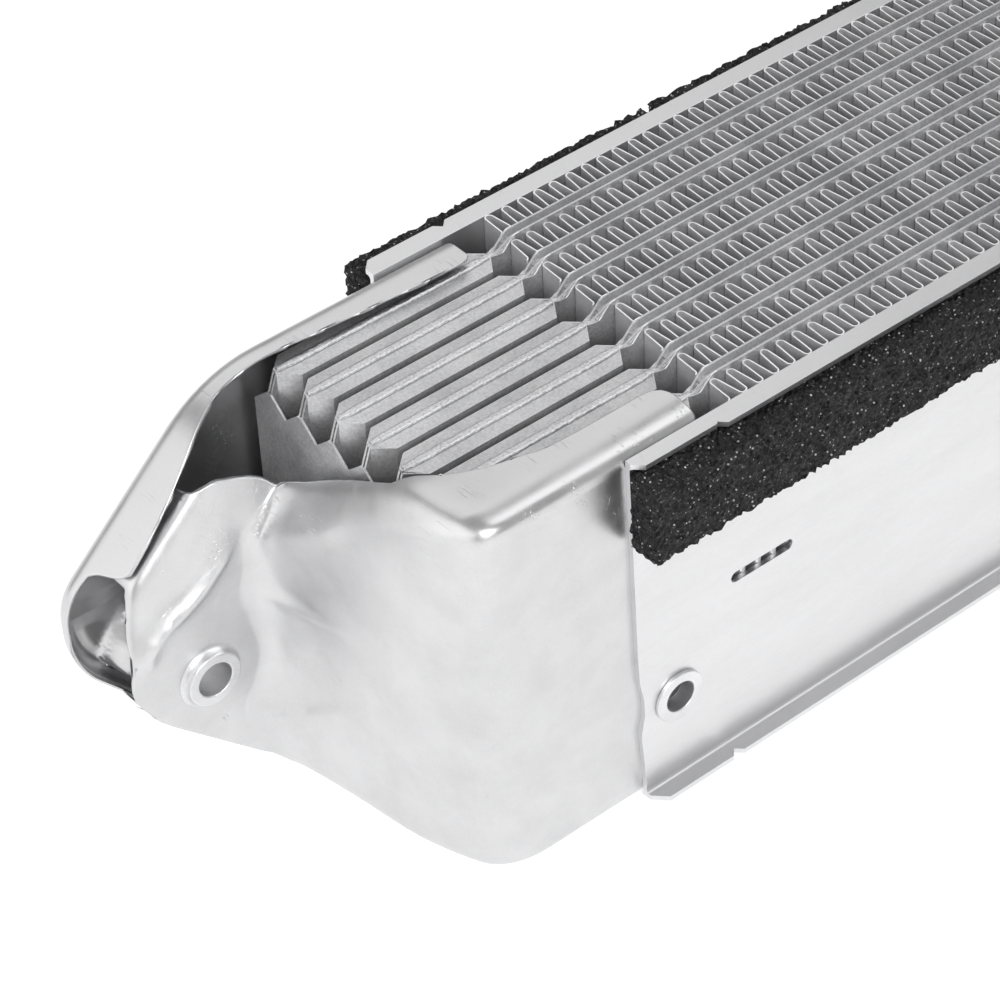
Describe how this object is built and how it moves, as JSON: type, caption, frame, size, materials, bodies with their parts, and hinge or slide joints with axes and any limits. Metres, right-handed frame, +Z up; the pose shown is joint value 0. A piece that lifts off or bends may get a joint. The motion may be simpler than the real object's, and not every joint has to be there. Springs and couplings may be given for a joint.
{
  "type": "oil cooler",
  "caption": "Air-to-oil cooler with stamped plate tubes, folded air fins, flanged side plates, foam seals and pressed duct shells with mounting lugs at both ends.",
  "frame": {"origin": "under the middle of the whole cooler, level with the underside of the end shells", "axes": "+X along the cooler, +Y across the tubes towards the oil ports, +Z up out of the upper fin face"},
  "size_m": [0.374, 0.0876, 0.0784],
  "materials": {
    "tube_plate": "brazed, satin",
    "turbulator": "brazed, satin",
    "air_fin": "brazed, satin",
    "side_plate": "rolled, satin",
    "shell": "pressed, satin with drawing marks",
    "bush": "turned, satin",
    "port": "turned, satin",
    "eyelet": "pressed, satin",
    "foam": "open-cell foam, matt"
  },
  "bodies": {
    "root": {"tube_1_far_plate": "tube_plate", "tube_2_far_plate": "tube_plate", "tube_3_far_plate": "tube_plate", "tube_4_far_plate": "tube_plate", "tube_5_far_plate": "tube_plate", "tube_6_far_plate": "tube_plate", "tube_7_far_plate": "tube_plate", "tube_1_near_plate": "tube_plate", "tube_2_near_plate": "tube_plate", "tube_3_near_plate": "tube_plate", "tube_4_near_plate": "tube_plate", "tube_5_near_plate": "tube_plate", "tube_6_near_plate": "tube_plate", "tube_7_near_plate": "tube_plate", "turbulator_1": "turbulator", "turbulator_2": "turbulator", "turbulator_3": "turbulator", "turbulator_4": "turbulator", "turbulator_5": "turbulator", "turbulator_6": "turbulator", "turbulator_7": "turbulator", "air_fin_1": "air_fin", "air_fin_2": "air_fin", "air_fin_3": "air_fin", "air_fin_4": "air_fin", "air_fin_5": "air_fin", "air_fin_6": "air_fin", "air_fin_7": "air_fin", "air_fin_8": "air_fin", "far_side_plate": "side_plate", "near_side_plate": "side_plate", "left_far_shell": "shell", "left_near_shell": "shell", "left_lug_bush": "bush", "left_oil_port": "port", "far_left_eyelet": "eyelet", "near_left_eyelet": "eyelet", "right_far_shell": "shell", "right_near_shell": "shell", "right_lug_bush": "bush", "right_oil_port": "port", "far_right_eyelet": "eyelet", "near_right_eyelet": "eyelet", "far_foam_1": "foam", "far_foam_2": "foam", "near_foam": "foam"}
  },
  "joints": []
}
